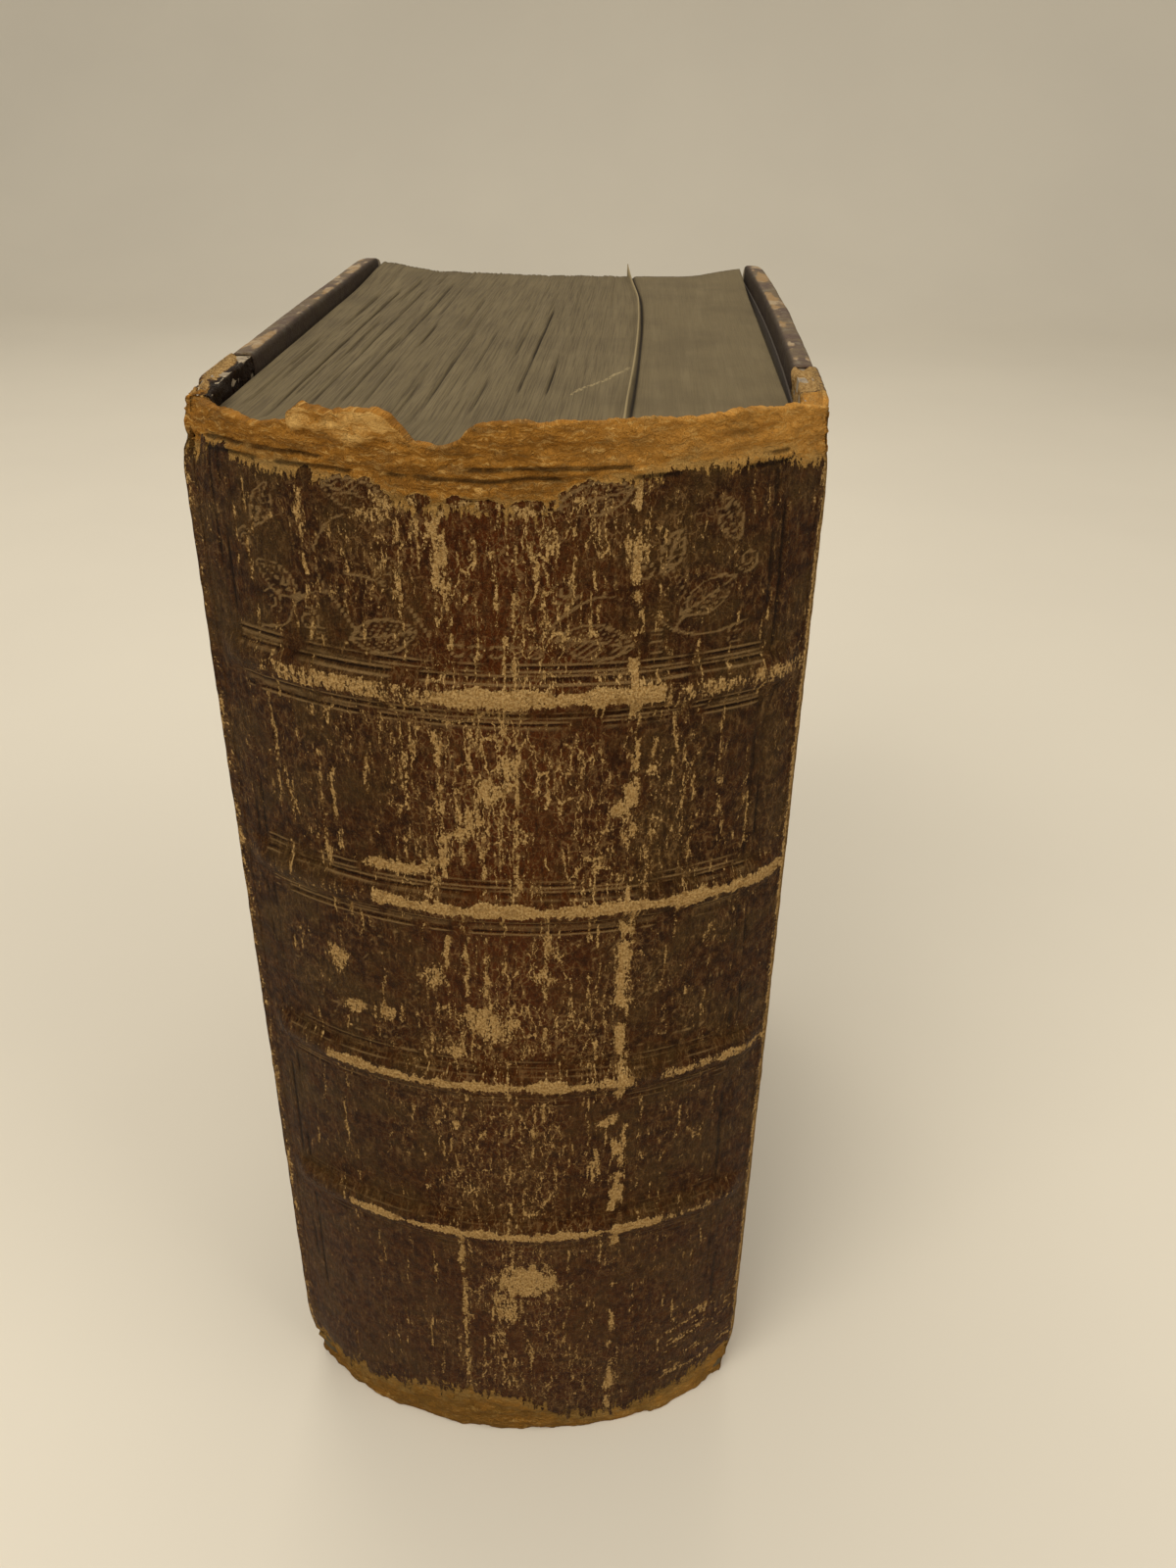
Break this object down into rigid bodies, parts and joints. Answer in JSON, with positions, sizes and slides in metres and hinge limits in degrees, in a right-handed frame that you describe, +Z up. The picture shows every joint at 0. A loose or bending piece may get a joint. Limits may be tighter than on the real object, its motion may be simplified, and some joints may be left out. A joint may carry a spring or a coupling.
{
  "type": "antique leather book",
  "caption": "Thick old book in a worn quarter leather binding with raised bands on its rounded back, standing closed on its tail, with two covers that open.",
  "frame": {"origin": "bottom centre of the closed book's bounding box, on the plane it stands on", "axes": "+Z up from tail to head, +X through the thickness towards the front cover, +Y from the spine towards the fore-edge; the spine faces -Y"},
  "size_m": [0.0847, 0.143, 0.192],
  "materials": {
    "leaves": "matte, grey stained cut edges",
    "covering_leather": "worn, polished dark calf with tan rubbed places",
    "pasteboard": "matte",
    "side_paper": "matte, scuffed",
    "endpaper": "matte, foxed",
    "hemp_cord": "matte"
  },
  "bodies": {
    "book_block": {"text_block": "leaves", "spine_leather": "covering_leather", "sewing_cord_1": "hemp_cord", "sewing_cord_2": "hemp_cord", "sewing_cord_3": "hemp_cord", "sewing_cord_4": "hemp_cord"},
    "front_cover": {"front_board": "pasteboard", "front_leather_lap": "covering_leather", "front_side_paper": "side_paper", "front_pastedown": "endpaper"},
    "back_cover": {"back_board": "pasteboard", "back_leather_lap": "covering_leather", "back_side_paper": "side_paper", "back_pastedown": "endpaper"}
  },
  "joints": [
    {"name": "front_hinge", "type": "hinge", "parent": "book_block", "child": "front_cover", "pos_m": [0.04152, -0.05525, 0.095], "axis": [0, 0, -1], "range_deg": [0, 150]},
    {"name": "back_hinge", "type": "hinge", "parent": "book_block", "child": "back_cover", "pos_m": [-0.0421, -0.05525, 0.095], "axis": [0, 0, 1], "range_deg": [0, 150]}
  ]
}
